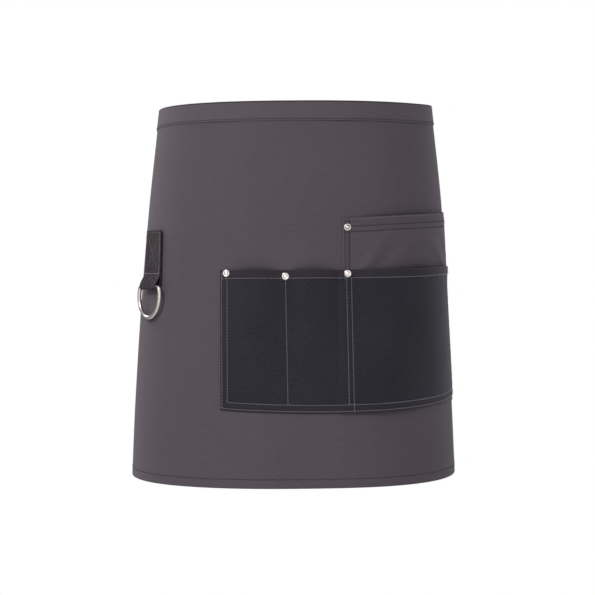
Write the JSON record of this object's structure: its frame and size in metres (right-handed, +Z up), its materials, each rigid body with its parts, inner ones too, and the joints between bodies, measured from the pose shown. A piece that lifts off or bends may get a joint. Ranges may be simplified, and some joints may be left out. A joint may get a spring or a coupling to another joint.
{
  "type": "waist apron",
  "caption": "Short waist apron of grey cloth wrapped round the hips, with black and grey patch pockets, rivets, a D-ring on a strap tab and ties knotted at the back.",
  "frame": {"origin": "middle of the waist, level with the waistband's mid height", "axes": "+Z up along the wearer, -Y out of the apron's front, +X towards the wearer's left, the right of the front view"},
  "size_m": [0.3974, 0.2785, 0.4477],
  "materials": {
    "grey_cloth": "matt purple-grey twill",
    "black_cloth": "matt blue-black denim twill",
    "nickel": "polished nickel plate"
  },
  "bodies": {
    "apron": {"apron_panel": "grey_cloth", "waistband": "grey_cloth", "upper_pocket": "grey_cloth", "main_pocket": "black_cloth", "ring_tab": "black_cloth", "rivet_left": "nickel", "rivet_middle": "nickel", "rivet_right": "nickel", "rivet_upper": "nickel", "rivet_side": "nickel", "rivet_upper_side": "nickel", "tie_left": "grey_cloth", "tie_right": "grey_cloth", "tie_knot": "grey_cloth", "tie_end_left": "grey_cloth", "tie_end_right": "grey_cloth"},
    "ring": {"d_ring": "nickel"}
  },
  "joints": [
    {"name": "ring_swing", "type": "hinge", "parent": "apron", "child": "ring", "pos_m": [-0.17337, -0.0793, -0.20483], "axis": [-0.5478, 0.8366, -0.006], "range_deg": [0, 160]}
  ]
}
